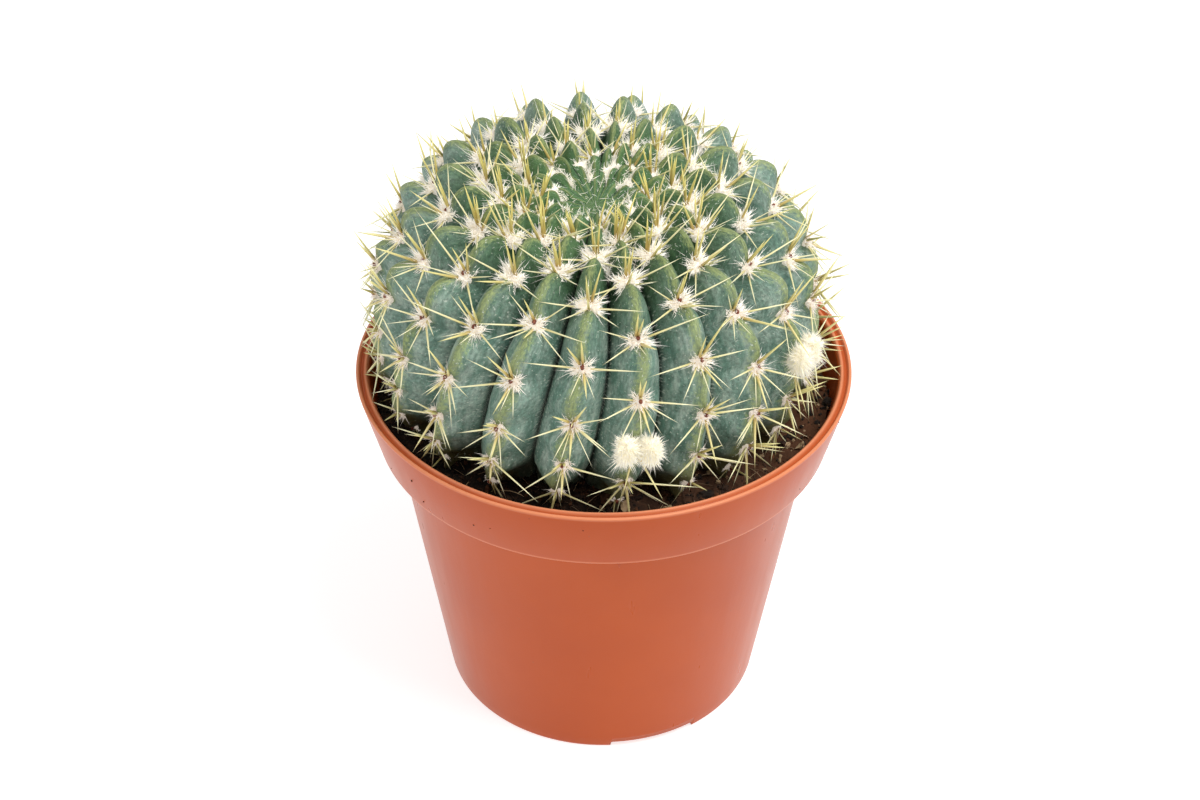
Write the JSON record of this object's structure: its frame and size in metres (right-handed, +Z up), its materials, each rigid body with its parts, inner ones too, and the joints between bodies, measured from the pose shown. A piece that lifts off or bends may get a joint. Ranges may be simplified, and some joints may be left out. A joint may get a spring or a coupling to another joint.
{
  "type": "potted barrel cactus",
  "caption": "Round ribbed cactus with spines and woolly buds, growing in soil in a tapered plastic nursery pot with a wide collar.",
  "frame": {"origin": "centre of the pot's foot ring, on the surface that the pot stands on", "axes": "+Z up along the pot's axis, -Y towards the front, where the plant leans a little, +X to the right"},
  "size_m": [0.12, 0.12, 0.1552],
  "materials": {
    "pot_plastic": "satin injection-moulded polypropylene in terracotta colour",
    "peat": "loose dark brown peat with crumbs and fibres",
    "cactus_skin": "waxy blue-green skin with olive crests, cream wool pads and straw-yellow spines",
    "bud_wool": "cream-white plant wool"
  },
  "bodies": {
    "root": {"pot": "pot_plastic", "soil": "peat", "cactus_stem": "cactus_skin", "bud_front_left": "bud_wool", "bud_front_right": "bud_wool", "bud_side_left": "bud_wool", "bud_side_right": "bud_wool"}
  },
  "joints": []
}
